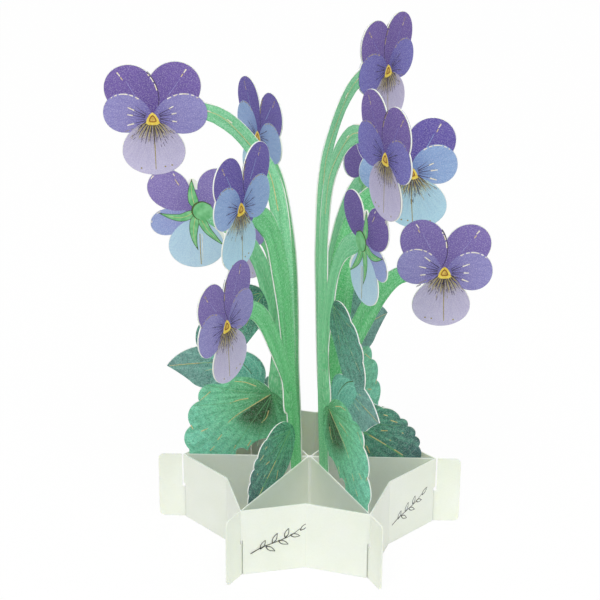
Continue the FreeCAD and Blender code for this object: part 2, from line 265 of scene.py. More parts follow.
INK = {
    "violet": petal_ink("ink_violet", colour(88, 66, 142), colour(108, 86, 160),
                        colour(120, 98, 172), colour(76, 58, 134), 0.45),
    "violet_blue": petal_ink("ink_violet_blue", colour(74, 62, 144), colour(98, 83, 164),
                             colour(108, 94, 174), colour(68, 56, 138), 0.45),
    "violet_second": petal_ink("ink_violet_second", colour(100, 82, 152), colour(120, 102, 170),
                               colour(130, 112, 180), colour(90, 74, 148), 0.45),
    "violet_back": petal_ink("ink_violet_back", colour(118, 100, 164), colour(138, 122, 184),
                             colour(146, 130, 192), colour(104, 88, 160), 0.45),
    "lilac": petal_ink("ink_lilac", colour(104, 96, 164), colour(144, 138, 194),
                       colour(154, 150, 206), colour(106, 98, 170), 0.6),
    # The same lilac as above, darker: painted shade for the side petals of the turned plants.
    "lilac_painted_shade": petal_ink("ink_lilac_with_painted_shade", colour(82, 76, 152), colour(116, 110, 184),
                            colour(128, 126, 200), colour(84, 78, 158), 0.6),
    "lilac_pale": petal_ink("ink_lilac_pale", colour(174, 168, 182), colour(190, 184, 210),
                            colour(202, 196, 224), colour(162, 154, 196), 0.4,
                            (colour(192, 180, 120), colour(66, 58, 92))),
    "blue": petal_ink("ink_blue", colour(104, 128, 182), colour(146, 174, 216),
                      colour(156, 186, 224), colour(110, 136, 192), 0.6),
    "blue_pale": petal_ink("ink_blue_pale", colour(172, 196, 190), colour(176, 212, 226),
                           colour(182, 220, 236), colour(140, 182, 212), 0.4,
                           (colour(204, 204, 130), colour(54, 62, 84))),
    "blue_back": petal_ink("ink_blue_back", colour(168, 200, 220), colour(182, 214, 230),
                           colour(190, 220, 236), colour(154, 186, 216), 0.4),
    "lilac_back": petal_ink("ink_lilac_back", colour(136, 138, 198), colour(150, 162, 210),
                            colour(158, 178, 220), colour(124, 130, 194), 0.45),
    "stem": stem_ink("ink_stem", colour(152, 228, 176), colour(124, 210, 152),
                     colour(84, 170, 110)),
    "stem_short": stem_ink("ink_stem_short", colour(136, 222, 156), colour(108, 208, 134),
                           colour(66, 160, 94)),
    "leaf_round": leaf_ink("ink_leaf_round", colour(92, 168, 104), colour(124, 216, 162),
                           colour(136, 228, 198), colour(58, 140, 92), colour(158, 232, 188),
                           11.0, colour(44, 58, 22)),
    "leaf_dark": leaf_ink("ink_leaf_dark", colour(98, 178, 154), colour(118, 176, 162),
                          colour(116, 156, 154), colour(62, 108, 102), colour(150, 218, 196)),
    "leaf_long": leaf_ink("ink_leaf_long", colour(66, 136, 112), colour(94, 168, 144),
                          colour(100, 160, 146), colour(38, 78, 68), colour(122, 204, 172), 12.0),
    "leaf_lobe": leaf_ink("ink_leaf_lobe", colour(98, 180, 154), colour(116, 198, 172),
                          colour(130, 210, 188), colour(62, 136, 118), colour(150, 224, 204), 14.0),
    "leaf_oval": leaf_ink("ink_leaf_oval", colour(96, 194, 140), colour(98, 172, 144),
                          colour(84, 124, 126), colour(36, 76, 70), colour(144, 230, 188), 10.0),
    "calyx": plain_ink("ink_calyx", colour(104, 184, 118), colour(136, 206, 146), scale=480.0),
    "eye": plain_ink("ink_eye", colour(226, 192, 66), colour(244, 220, 104)),
    "eye_ring": plain_ink("ink_eye_ring", colour(170, 118, 44), colour(142, 94, 40)),
    "eye_heart": plain_ink("ink_eye_heart", colour(226, 192, 92), colour(188, 150, 66)),
    "dark": plain_ink("ink_dark", colour(58, 50, 80), colour(76, 64, 92)),
    "dark_green": plain_ink("ink_dark_green", colour(56, 96, 54), colour(92, 110, 58)),
    "lobe_rim": plain_ink("ink_lobe_rim", colour(146, 210, 192), colour(124, 194, 172)),
    "vein": plain_ink("ink_vein", colour(122, 186, 130), colour(104, 172, 120)),
    "gold": plain_ink("gold_line", colour(208, 184, 112), colour(238, 220, 160), 0.45, 0.1),
    # The two foil inks are one gold foil lit two ways: the dull dark one below is the foil in
    # painted shade, and the bright near-white one after it is the foil with a painted highlight
    # where it glints.
    "foil_painted_shade": plain_ink("gold_foil_painted_dull", colour(146, 128, 112), colour(184, 166, 142),
                             0.5, 0.1),
    "foil": plain_ink("gold_foil", colour(232, 220, 184), colour(250, 246, 232), 0.4, 0.1),
    "olive": plain_ink("ink_olive", colour(148, 134, 78), colour(172, 160, 104)),
    "grey": plain_ink("ink_grey", colour(64, 66, 64), colour(88, 90, 86)),
}
INK_PLACE = {name: place for place, name in enumerate(INK)}


# Outlines, in millimetres on the flat artwork: distance out from the centre, height

def egg_point(petal, turn, inset=0.0):
    centre_u, centre_z, tip_deg, length, width = petal
    tip = math.radians(tip_deg)
    share = ((1.0 - math.cos(turn)) / 2.0) ** PETAL_FULLNESS
    forward = (length - 2.0 * inset) * (share - 0.5)
    sideways = (width / 2.0 - inset) * math.sin(turn)
    return (centre_u + math.cos(tip) * forward - math.sin(tip) * sideways,
            centre_z + math.sin(tip) * forward + math.cos(tip) * sideways)


def egg(petal, inset=INSET, count=48):
    return [egg_point(petal, 2.0 * math.pi * i / count, inset) for i in range(count)]


def arc(start, via, end, count=10):
    """Points of the arc through three points, without the first."""
    ax, ay = start
    bx, by = via
    cx, cy = end
    d = 2.0 * (ax * (by - cy) + bx * (cy - ay) + cx * (ay - by))
    if abs(d) < 0.000001:
        return [end]
    a2 = ax * ax + ay * ay
    b2 = bx * bx + by * by
    c2 = cx * cx + cy * cy
    ox = (a2 * (by - cy) + b2 * (cy - ay) + c2 * (ay - by)) / d
    oy = (a2 * (cx - bx) + b2 * (ax - cx) + c2 * (bx - ax)) / d
    radius = math.hypot(ax - ox, ay - oy)
    first = math.atan2(ay - oy, ax - ox)
    middle = (math.atan2(by - oy, bx - ox) - first) % (2.0 * math.pi)
    last = (math.atan2(cy - oy, cx - ox) - first) % (2.0 * math.pi)
    if middle > last:
        last -= 2.0 * math.pi
    return [(ox + radius * math.cos(first + last * i / count),
             oy + radius * math.sin(first + last * i / count)) for i in range(1, count + 1)]


def leaf_outline(leaf):
    start, runs = leaf
    points = [start]
    for via, end in runs:
        if via is None:
            points.append(end)
        else:
            points += arc(points[-1], via, end)
    return points[:-1]


def smooth(points, count=8):
    """A smooth line through these points."""
    line = []
    for i in range(len(points) - 1):
        p0 = Vector(points[max(i - 1, 0)])
        p1 = Vector(points[i])
        p2 = Vector(points[i + 1])
        p3 = Vector(points[min(i + 2, len(points) - 1)])
        gap = (p2 - p1).length
        m1 = (p2 - p0) * (gap / max((p2 - p1).length + (p1 - p0).length, 0.001))
        m2 = (p3 - p1) * (gap / max((p3 - p2).length + (p2 - p1).length, 0.001))
        for j in range(count):
            t = j / count
            line.append(tuple(
                p1 * (2 * t ** 3 - 3 * t ** 2 + 1) + m1 * (t ** 3 - 2 * t ** 2 + t)
                + p2 * (3 * t ** 2 - 2 * t ** 3) + m2 * (t ** 3 - t ** 2)))
    line.append(tuple(points[-1]))
    return line


def even(line, count):
    """The same line with this many evenly spaced points."""
    steps = [0.0]
    for a, b in zip(line, line[1:]):
        steps.append(steps[-1] + math.dist(a, b))
    out = []
    place = 0
    for i in range(count):
        want = steps[-1] * i / (count - 1)
        while place < len(steps) - 2 and steps[place + 1] < want:
            place += 1
        share = (want - steps[place]) / max(steps[place + 1] - steps[place], 0.000001)
        a, b = line[place], line[place + 1]
        out.append((a[0] + (b[0] - a[0]) * share, a[1] + (b[1] - a[1]) * share))
    return out


def brush(points, wide, thin=None):
    """Outline of a stroke of ink that tapers from wide to thin."""
    thin = wide if thin is None else thin
    left, right = [], []
    for i, point in enumerate(points):
        before = points[max(i - 1, 0)]
        after = points[min(i + 1, len(points) - 1)]
        run = Vector((after[0] - before[0], after[1] - before[1])).normalized()
        half = (wide + (thin - wide) * i / (len(points) - 1)) / 2.0
        left.append((point[0] - run.y * half, point[1] + run.x * half))
        right.append((point[0] + run.y * half, point[1] - run.x * half))
    return left + right[::-1]


def rim_points(petal, first, last, inset=0.45, count=8):
    """Points along the rim of a petal, from one turn to another in degrees, 180 at its tip."""
    return [egg_point(petal, math.radians(first + (last - first) * i / (count - 1)), inset)
            for i in range(count)]


# Print on one plant: fields of ink on both faces, joined in one mesh

class Print:
    def __init__(self, arm):
        self.arm = arm
        self.lean, self.turn = (math.radians(v) for v in PLANT_STANCE[arm])
        angle = math.radians(ARM_ANGLE[arm])
        self.out = Vector((math.cos(angle), math.sin(angle), 0.0))
        self.side = Vector((-math.sin(angle), math.cos(angle), 0.0))
        start = Vector((0.0, 0.0, 0.0))
        if arm not in ("left", "right"):
            start.x = CREST_WIDTH / 2.0 * (1.0 if arm.endswith("right") else -1.0)
            start.y = -CARD if arm.startswith("front") else CARD
        self.start = start - self.out * start.dot(self.out)
        # Painted light: the plants seen square on get the foil with its painted highlight and the
        # lighter violet and lilac, while the turned plants get the same foil and inks in painted
        # shade
        self.shines = arm in ("left", "right")
        self.foil = "foil" if self.shines else "foil_painted_shade"
        self.order = 0
        self.points, self.faces, self.maps, self.inks = [], [], [], []

    def turned(self, u, z):
        du, dz = u - TURN_PIVOT, z - HEIGHT
        return (TURN_PIVOT + math.cos(self.turn) * du - math.sin(self.turn) * dz,
                HEIGHT + math.sin(self.turn) * du + math.cos(self.turn) * dz)

    def place(self, u, z, face, lift):
        u, z = self.turned(u, z)
        high = z - HEIGHT
        across = (GLUED_SIDE[self.arm] * CARD - math.sin(self.lean) * high
                  + face * (CARD / 2.0 + lift))
        spot = self.start + self.out * u + self.side * across
        spot.z = HEIGHT + math.cos(self.lean) * high
        return spot * MM

    def clipped(self, corners):
        """Cuts off what lies below the top of the white wall."""
        kept = []
        for i, here in enumerate(corners):
            last = corners[i - 1]
            high_here = self.turned(here[0], here[1])[1] - PRINT_BOTTOM
            high_last = self.turned(last[0], last[1])[1] - PRINT_BOTTOM
            if (high_here >= 0.0) != (high_last >= 0.0):
                share = high_last / (high_last - high_here)
                kept.append(tuple(a + (b - a) * share for a, b in zip(last, here)))
            if high_here >= 0.0:
                kept.append(here)
        return kept

    def field(self, outline, ink, to_map):
        """One field of ink. to_map turns a point of the artwork into its map place."""
        corners = [(u, z) + tuple(to_map(u, z)) for u, z in outline]
        self.patch(corners, ink)

    def patch(self, corners, ink):
        corners = self.clipped(corners)
        if len(corners) < 3:
            return
        area = sum(a[0] * b[1] - b[0] * a[1] for a, b in zip(corners, corners[1:] + corners[:1]))
        if area < 0.0:
            corners = corners[::-1]
        lift = FIRST_LAYER + LAYER * self.order
        for face in (-1, 1):
            run = corners if face < 0 else corners[::-1]
            first = len(self.points)
            self.points += [self.place(c[0], c[1], face, lift) for c in run]
            self.faces.append(list(range(first, first + len(run))))
            self.maps += [(c[2], c[3]) for c in run]
            self.inks.append(INK_PLACE[ink])

    def petal(self, petal, heart, ink):
        tip = math.radians(petal[2])

        def to_map(u, z):
            du, dz = u - heart[0], z - heart[1]
            return ((du * math.sin(tip) - dz * math.cos(tip)) / MAP_UNIT,
                    (du * math.cos(tip) + dz * math.sin(tip)) / MAP_UNIT)
        self.field(egg(petal), ink, to_map)
        self.order += 1

    def leaf(self, leaf, foot, axis_deg, ink):
        axis = math.radians(axis_deg)

        def to_map(u, z):
            du, dz = u - foot[0], z - foot[1]
            return ((du * math.sin(axis) - dz * math.cos(axis)) / MAP_UNIT,
                    (du * math.cos(axis) + dz * math.sin(axis)) / MAP_UNIT)
        outline = leaf if isinstance(leaf, list) else leaf_outline(leaf)
        self.field(outline, ink, to_map)
        self.order += 1

    def stem(self, outline, turn_at, ink, count=40):
        left = even(smooth(outline[:turn_at]), count)
        right = even(smooth(outline[turn_at:][::-1]), count)
        along = 0.0
        for i in range(count - 1):
            step = math.dist(left[i], left[i + 1]) / MAP_UNIT
            self.patch([left[i] + (0.0, along), right[i] + (1.0, along),
                        right[i + 1] + (1.0, along + step), left[i + 1] + (0.0, along + step)], ink)
            along += step
        self.order += 1

    def stroke(self, points, ink, wide, thin=None):
        self.field(brush(points, wide, thin), ink, lambda u, z: (u / MAP_UNIT, z / MAP_UNIT))

    def shape(self, outline, ink):
        self.field(outline, ink, lambda u, z: (u / MAP_UNIT, z / MAP_UNIT))

    def build(self):
        mesh = bpy.data.meshes.new("print_" + self.arm)
        mesh.from_pydata(self.points, [], self.faces)
        layer = mesh.uv_layers.new(name="ink")
        for loop, place in zip(layer.data, self.maps):
            loop.uv = place
        for material in INK.values():
            mesh.materials.append(material)
        mesh.polygons.foreach_set("material_index", self.inks)
        mesh.update()
        made = bpy.data.objects.new("print_" + self.arm, mesh)
        bpy.context.scene.collection.objects.link(made)
        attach(made, "root")


TALL_PETALS = [
    (53.8, 162.2, 57.0, 20.8, 16.8),
    (41.6, 162.7, 124.0, 22.0, 17.0),
    (56.0, 155.4, 10.0, 16.0, 14.0),
    (38.9, 155.1, 172.0, 17.6, 14.4),
    (48.2, 143.3, 270.0, 19.4, 20.6),
    (43.6, 127.6, 52.0, 16.6, 13.6),
    (28.4, 128.0, 112.0, 15.6, 13.4),
    (44.0, 116.8, 340.0, 14.0, 9.8),
    (36.0, 108.6, 268.0, 18.2, 18.6),
]
TALL_STEM = [
    (6.8, 20.0), (5.6, 36.0), (4.3, 58.0), (4.0, 86.0), (4.4, 108.0),
    (7.4, 132.0), (14.6, 146.0), (24.0, 156.0), (34.0, 159.5),
    (35.5, 154.0), (29.5, 152.3), (21.0, 145.3), (13.2, 131.0), (10.3, 112.0),
    (10.4, 94.0), (11.0, 60.0), (13.4, 20.0),
]
TALL_SIDE_STEM = [
    (7.0, 82.0), (10.5, 96.0), (12.9, 102.6), (17.2, 111.2), (24.4, 119.2), (33.0, 122.6),
    (34.5, 117.0), (28.9, 113.9), (21.9, 108.4), (17.2, 99.2), (15.0, 89.0),
    (13.0, 80.0), (11.45, 70.0), (11.8, 65.2), (13.0, 59.1), (13.6, 54.6),
    (13.05, 51.4), (11.5, 50.1), (8.0, 50.1),
]
ROUND_LEAF = (
    (12.5, 50.8), [
        ((23.8, 57.0), (30.5, 53.9)),
        ((36.4, 52.8), (37.8, 47.3)),
        ((41.4, 43.6), (41.0, 37.3)),
        ((43.6, 33.0), (42.1, 27.8)),
        (None, (42.1, 20.0)),
        (None, (26.0, 20.0)),
        (None, (25.9, 26.2)),
        ((24.4, 28.2), (21.8, 27.0)),
        ((18.4, 31.0), (14.2, 32.2)),
        ((10.0, 37.6), (8.6, 44.5)),
        ((9.6, 48.6), (12.5, 50.8)),
    ])
CURLED_LEAF = (
    (15.2, 54.0), [
        ((15.3, 62.0), (22.0, 67.2)),
        (None, (36.5, 69.2)),
        ((42.6, 67.0), (48.2, 61.6)),
        ((44.6, 59.0), (40.6, 55.6)),
        ((38.4, 53.6), (35.5, 52.6)),
        (None, (15.2, 54.0)),
    ])
LONG_LEAF = (
    (12.8, 80.5), [
        ((13.4, 87.0), (15.6, 91.6)),
        ((22.0, 92.7), (27.4, 89.0)),
        ((31.0, 87.3), (33.3, 84.0)),
        ((35.7, 81.8), (36.0, 78.2)),
        ((37.8, 73.4), (37.0, 68.0)),
        (None, (24.0, 65.0)),
        ((18.6, 72.6), (12.8, 80.5)),
    ])
SHORT_PETALS = [
    (41.2, 142.4, 63.0, 19.8, 15.8),
    (26.0, 141.8, 115.0, 19.8, 15.4),
    (42.9, 135.6, 8.0, 15.2, 14.2),
    (26.2, 133.4, 174.0, 16.0, 14.4),
    (37.2, 122.0, 272.0, 18.4, 19.6),
    (53.5, 105.0, 55.0, 19.2, 14.8),
    (40.0, 106.0, 112.0, 20.5, 15.4),
    (54.8, 96.8, 2.0, 15.6, 14.6),
    (38.1, 98.5, 165.0, 15.2, 13.4),
    (45.4, 85.4, 270.0, 18.4, 19.6),
]
SHORT_STEM = [
    (4.5, 20.0), (5.1, 38.0), (6.5, 58.0), (6.8, 78.0), (8.2, 98.0),
    (12.3, 114.0), (18.0, 125.0), (25.0, 130.0),
    (30.0, 126.0), (21.8, 116.0), (18.6, 103.0), (15.8, 88.0), (14.0, 70.0),
    (12.4, 45.0), (11.2, 20.0),
]
SHORT_SIDE_STEM = [
    (9.0, 64.0), (14.8, 77.2), (18.4, 85.0), (24.8, 94.2), (31.0, 98.5), (37.0, 99.4),
    (37.0, 93.6), (31.7, 92.0), (26.6, 85.5), (22.2, 77.0), (18.0, 68.2),
    (14.95, 61.3), (14.35, 57.5), (14.4, 53.0), (14.1, 50.1), (13.4, 48.7),
    (12.2, 47.8), (9.0, 48.2),
]
OVAL_LEAF = (
    (11.4, 43.4), [
        ((19.6, 46.5), (25.8, 44.2)),
        ((29.3, 43.3), (31.8, 40.0)),
        ((33.6, 39.5), (34.2, 36.9)),
        ((36.4, 35.9), (36.8, 33.0)),
        ((38.4, 31.4), (38.1, 28.8)),
        ((39.0, 26.6), (38.8, 24.0)),
        (None, (38.8, 20.0)),
        (None, (18.6, 20.0)),
        (None, (18.6, 24.8)),
        ((12.4, 28.2), (9.4, 33.0)),
        ((8.3, 38.5), (11.4, 43.4)),
    ])


def disc(centre, radius, count=28):
    return [(centre[0] + radius * math.cos(2.0 * math.pi * i / count),
             centre[1] + radius * math.sin(2.0 * math.pi * i / count)) for i in range(count)]


def ray(start, angle_deg, near, far, bend=0.0, count=5):
    """Points of a slightly bent line that leaves start in this direction."""
    points = []
    for i in range(count):
        share = i / (count - 1)
        reach = near + (far - near) * share
        angle = math.radians(angle_deg + bend * share)
        points.append((start[0] + reach * math.cos(angle), start[1] + reach * math.sin(angle)))
    return points


def dashes(art, petal, spans, wide=0.42):
    for first, last in spans:
        art.stroke(rim_points(petal, first, last), art.foil, wide, wide * 0.6)


def draw_flower(art, petals, inks, heart, heart_disc, front_upper, seed):
    """A flower seen from its front: upper petals, side petals, lower petal, then its eye."""
    dice = random.Random(seed)
    outer_upper, inner_upper, outer_side, inner_side, lower = petals
    uppers = [outer_upper, inner_upper]
    first = uppers[1 - front_upper]
    last = uppers[front_upper]
    away = 1 if front_upper == 0 else -1
    art.field(disc(heart_disc[:2], heart_disc[2] - INSET), inks[0],
              lambda u, z: ((u - heart[0]) / MAP_UNIT, (z - heart[1]) / MAP_UNIT))
    art.order += 1
    art.petal(first, heart, inks[0])
    art.petal(last, heart, inks[0])
    turns = [(20.0, 104.0), (62.0, 76.0), (80.0, 92.0), (95.0, 100.0)]
    if away < 0:
        turns = [(360.0 - a, 360.0 - b) for a, b in turns]
    art.stroke(rim_points(last, turns[0][0], turns[0][1], 0.1, 14), "dark", 0.2, 0.34)
    for near, far in turns[1:]:
        art.stroke(rim_points(last, near, far, 0.45, 5), art.foil, 0.4, 0.32)
    for upper in uppers:
        tip = egg_point(upper, math.pi, 0.0)
        span = math.dist(tip, heart)
        toward = math.degrees(math.atan2(heart[1] - tip[1], heart[0] - tip[0]))
        art.stroke(ray(tip, toward + dice.uniform(-6, 6), 1.6, 3.2), art.foil, 0.45, 0.3)
        art.stroke(ray(tip, toward + dice.uniform(-6, 6), 3.6, 4.8), "gold", 0.35, 0.2)
        art.stroke(ray(heart, toward + 180.0, span * 0.45, span - 5.6, dice.uniform(-3, 3)),
                   inks[1], 0.2, 0.12)
    art.order += 1
    for side in (outer_side, inner_side):
        art.petal(side, heart, inks[1])
        spans = [(58.0, 68.0), (74.0, 84.0), (88.0, 112.0), (118.0, 126.0), (133.0, 137.0)]
        if side is inner_side:
            spans = [(360.0 - a, 360.0 - b) for a, b in spans]
        dashes(art, side, spans)
        # On the turned plants the foil whiskers are painted as thin dark lines: the foil in painted
        # shade.
        whisker = ("foil", 0.5, 0.3) if art.shines else ("dark", 0.24, 0.1)
        for spread in (-26.0, -4.0, 17.0):
            away_deg = side[2] + spread + dice.uniform(-3, 3)
            art.stroke(ray(heart, away_deg, 2.4, 7.0 + dice.uniform(0, 1.5), 4), "dark", 0.36, 0.05)
            art.stroke(ray(heart, away_deg + 2.0, 6.4, 8.3 + dice.uniform(-0.4, 0.8)), *whisker)
        for spread in (-15.0, 7.0, 27.0):
            art.stroke(ray(heart, side[2] + spread, 2.4, 5.6 + dice.uniform(0, 1.4), 3),
                       "dark", 0.28, 0.05)
    art.order += 1
    art.petal(lower, heart, inks[2])
    down = lower[2]
    for spread in (-62, -47, -33, -20, -8, 10, 22, 36, 50, 64):
        length = 9.2 - abs(spread) * 0.05 + dice.uniform(-1.2, 1.2)
        art.stroke(ray(heart, down + spread, 1.8, length, spread * -0.2), "dark", 0.42, 0.12)
    for spread in (-54, -40, -26, -13, 15, 29, 43, 57):
        length = 7.4 + dice.uniform(-0.8, 1.4)
        art.stroke(ray(heart, down + spread, 1.8, length, spread * -0.2), "olive", 0.5, 0.16)
    for hair in range(44):
        start = 3.4 + 6.2 * dice.random() ** 1.3
        toward = down + dice.uniform(-66, 66)
        art.stroke(ray(heart, toward, start, start + dice.uniform(0.9, 1.9), 0.0, 2),
                   "olive" if hair % 3 == 0 else "dark", 0.2, 0.12)
    end = math.dist(heart, egg_point(lower, math.pi, 0.0)) - 2.0
    art.stroke(ray(heart, down - 2.0, 2.0, end, 1.5, 9), "olive", 0.4, 0.26)
    art.stroke(ray(heart, down - 2.6, 2.0, end * 0.5, 1.5, 6), "dark", 0.5, 0.12)
    for turn, depth in ((150.0, 1.6), (206.0, 2.4), (222.0, 1.8)):
        spot = egg_point(lower, math.radians(turn), depth)
        art.shape(disc(spot, 0.3, 8), "olive")
    art.order += 1
    eye = [(-2.0, -1.5), (-1.7, -0.2), (-0.9, 1.2), (0.0, 1.9), (0.9, 1.2), (1.7, -0.2),
           (2.0, -1.5), (1.2, -2.0), (0.0, -2.1), (-1.2, -2.0)]
    art.shape([(heart[0] + x * 1.12, heart[1] + z * 1.12) for x, z in eye], "eye")
    art.order += 1
    art.shape([(heart[0] + x * 0.66, heart[1] + z * 0.66) for x, z in eye], "eye_ring")
    art.order += 1
    art.shape([(heart[0] + x * 0.42, heart[1] - 0.1 + z * 0.4) for x, z in eye], "eye_heart")
    art.order += 1


SEPAL_RIM = 0.2           # dark rim of a sepal


def sepal(art, points, wide):
    """A pointed sepal with a dark rim and a pale middle line."""
    line = even(smooth(points), 12)
    last = len(line) - 1
    widest = 3
    sides = []
    for sign in (1, -1):
        side = []
        for i, point in enumerate(line):
            before, after = line[max(i - 1, 0)], line[min(i + 1, last)]
            way = Vector((after[0] - before[0], after[1] - before[1])).normalized()
            if i < widest:
                swell = math.sin(math.pi * i / widest / 2.0)
            else:
                swell = 1.0 - ((i - widest) / (last - widest)) ** 1.6
            half_width = wide / 2.0 * max(swell, 0.02) if i else wide * 0.3
            side.append(Vector((point[0] - way.y * half_width * sign,
                                point[1] + way.x * half_width * sign)))
        sides.append(side)
    left, right = sides
    art.shape([tuple(p) for p in left + right[::-1]], "dark_green")
    art.order += 1
    pale_left, pale_right = [], []
    for a, b in zip(left[:last], right[:last]):
        middle = (a + b) / 2.0
        reach = (a - middle).length
        keep = max(reach - SEPAL_RIM, 0.0) / max(reach, 0.001)
        pale_left.append(tuple(middle + (a - middle) * keep))
        pale_right.append(tuple(middle + (b - middle) * keep))
    art.shape(pale_left + pale_right[::-1], "calyx")
    art.order += 1
    art.stroke(line[1:-2], "gold", 0.14, 0.08)
    art.order += 1


def draw_back_flower(art, petals, heart):
    """The second flower of a tall plant, seen from behind with its calyx."""
    outer_upper, inner_upper, outer_side, lower = petals
    art.field(disc((35.8, 122.3), 5.9), "violet_back",
              lambda u, z: ((u - heart[0]) / MAP_UNIT, (z - heart[1]) / MAP_UNIT))
    art.order += 1
    # Painted light: the upper petals take the lighter violet on the plants seen square on, and the
    # darker violet as painted shade on the turned plants.
    upper_ink_lit_or_shaded = "violet_back" if art.shines else "violet"
    art.petal(inner_upper, heart, upper_ink_lit_or_shaded)
    art.petal(outer_side, heart, "lilac_back")
    art.petal(outer_upper, heart, upper_ink_lit_or_shaded)
    art.stroke(rim_points(outer_upper, 186.0, 200.0, 0.6), "foil", 0.4, 0.3)
    art.stroke(ray(heart, 62.0, 10.5, 13.0), "gold", 0.3, 0.2)
    art.stroke(ray(heart, 64.0, 14.0, 15.0), "foil", 0.4, 0.3)
    art.petal(lower, heart, "blue_back")
    dashes(art, outer_side, [(100.0, 116.0), (150.0, 160.0)], 0.3)
    art.stroke([(34.6, 112.0), (34.7, 106.0), (34.6, 100.6)], "olive", 0.3, 0.3)
    art.stroke([(33.9, 112.0), (34.0, 102.0)], "foil", 0.2, 0.1)
    art.order += 1
    sepal(art, [(35.6, 121.0), (36.6, 126.4), (36.5, 132.0)], 3.4)
    sepal(art, [(35.0, 120.6), (40.0, 118.0), (44.0, 118.4), (48.0, 119.8)], 3.2)
    sepal(art, [(35.4, 120.0), (36.6, 113.6), (36.4, 109.4), (35.4, 105.8)], 3.2)
    sepal(art, [(34.8, 119.4), (32.2, 113.6), (29.6, 110.4), (26.6, 107.4)], 3.0)
    art.shape(disc((33.6, 120.4), 3.5), "dark_green")
    art.order += 1
    art.shape(disc((33.2, 120.2), 3.3), "calyx")
    art.order += 1
    art.stroke(smooth([(30.4, 122.4), (33.4, 123.7), (36.4, 122.0), (36.9, 119.6)]),
               "dark_green", 0.3, 0.5)
    art.order += 1


def leaf_veins(art, foot, spokes, ink="gold", seed=1):
    """Veins that fan out from the foot of a leaf, each with a broken line over it."""
    dice = random.Random(seed)
    for angle, far, bend in spokes:
        art.stroke(ray(foot, angle, 1.0, far, bend), "vein", 0.3, 0.1)
        near = dice.uniform(1.2, 4.0)
        while near < far:
            stop = min(near + dice.uniform(2.0, 4.6), far)
            first = bend * near / far
            last = bend * stop / far
            art.stroke(ray(foot, angle + first, near, stop, last - first), ink, 0.22, 0.132)
            near = stop + dice.uniform(2.0, 7.0)
    art.order += 1


def draw_tall(arm):
    art = Print(arm)
    art.stem(TALL_STEM, 9, "stem")
    art.stem(TALL_SIDE_STEM, 6, "stem")
    art.stroke(smooth([(8.4, 120.0), (11.0, 134.0), (17.6, 144.8), (26.0, 154.0), (33.0, 156.6)]),
               "gold", 0.25, 0.15)
    art.stroke([(29.2, 155.6), (31.6, 156.6)], "foil", 0.45, 0.3)
    art.stroke([(22.4, 151.6), (24.0, 153.0)], "foil", 0.4, 0.3)
    art.order += 1
    art.leaf(LONG_LEAF, (14.0, 90.0), 312.0, "leaf_long")
    leaf_veins(art, (14.0, 90.0), [(318.0, 26.0, 4.0), (340.0, 14.0, 8.0), (300.0, 18.0, -4.0)],
               seed=3)
    art.leaf(CURLED_LEAF, (22.0, 62.0), 2.0, "leaf_dark")
    art.stroke(ray((24.0, 62.8), 1.0, 0.5, 23.4, -4.0, 7), "gold", 0.32, 0.14)
    art.order += 1
    leaf_veins(art, (24.0, 62.8), [(2.0, 22.0, -6.0), (22.0, 12.0, -8.0), (338.0, 12.0, 6.0)],
               seed=4)
    art.leaf([(30.0, 68.4), (25.8, 66.0), (21.9, 62.1), (19.2, 58.2), (19.4, 54.0),
              (15.4, 54.2), (15.0, 58.0), (16.2, 62.2), (18.8, 65.4), (22.0, 67.1)],
             (17.0, 54.0), 62.0, "leaf_lobe")
    art.leaf([(30.0, 68.4), (33.0, 65.0), (29.6, 60.0), (26.0, 56.0), (22.0, 54.0),
              (19.4, 54.0), (19.2, 58.2), (21.9, 62.1), (25.8, 66.0)],
             (20.0, 54.0), 52.0, "leaf_lobe")
    art.stroke(smooth([(30.0, 68.4), (25.8, 66.0), (21.9, 62.1), (19.2, 58.2)]),
               "dark_green", 0.35, 0.2)
    art.stroke(smooth([(31.0, 66.6), (26.4, 65.2), (22.4, 61.6), (19.8, 57.8), (19.9, 55.0)]),
               "lobe_rim", 0.4, 0.25)
    art.stroke(smooth([(25.0, 67.0), (20.2, 64.9), (17.4, 61.6), (16.0, 57.6)]),
               "lobe_rim", 0.3, 0.2)
    art.order += 1
    art.leaf(ROUND_LEAF, (12.6, 50.0), 312.0, "leaf_round")
    art.stroke(smooth([(13.2, 49.8), (19.4, 45.5), (24.7, 41.8), (28.2, 38.6)]), "gold", 0.34, 0.16)
    art.stroke(smooth([(13.8, 43.4), (14.7, 40.6), (16.4, 38.5)]), "gold", 0.36, 0.2)
    art.stroke(smooth([(20.7, 48.4), (24.1, 47.7), (27.1, 46.4)]), "gold", 0.36, 0.18)
    art.stroke(smooth([(17.8, 53.2), (21.5, 54.8), (25.2, 55.2)]), "gold", 0.3, 0.2)
    art.stroke([(33.7, 51.2), (37.4, 47.6)], "gold", 0.24, 0.14)
    for a, b in (((34.8, 27.1), (33.2, 29.0)), ((32.0, 31.6), (30.4, 33.8)),
                 ((26.4, 28.0), (25.7, 29.4)), ((21.6, 29.0), (20.3, 31.4)),
                 ((37.6, 35.1), (35.2, 36.3)), ((41.0, 37.6), (40.4, 36.0))):
        art.stroke([a, b], "gold", 0.36, 0.22)
    art.order += 1
    leaf_veins(art, (12.4, 50.0), [(343.0, 28.0, 8.0), (2.0, 24.0, 8.0), (304.0, 30.0, -2.0),
                                   (290.0, 22.0, -4.0)], "vein", seed=5)
    draw_back_flower(art, TALL_PETALS[5:], (35.8, 120.5))
    # Painted light: the side petals are lighter lilac on the plants seen square on, and the darker
    # lilac copy as painted shade on the turned ones.
    side_ink_lit_or_shaded = "lilac" if art.shines else "lilac_painted_shade"
    draw_flower(art, TALL_PETALS[:5], ("violet", side_ink_lit_or_shaded, "lilac_pale"), (48.0, 153.6),
                (48.0, 153.4, 3.0), 0, 11)
    art.build()


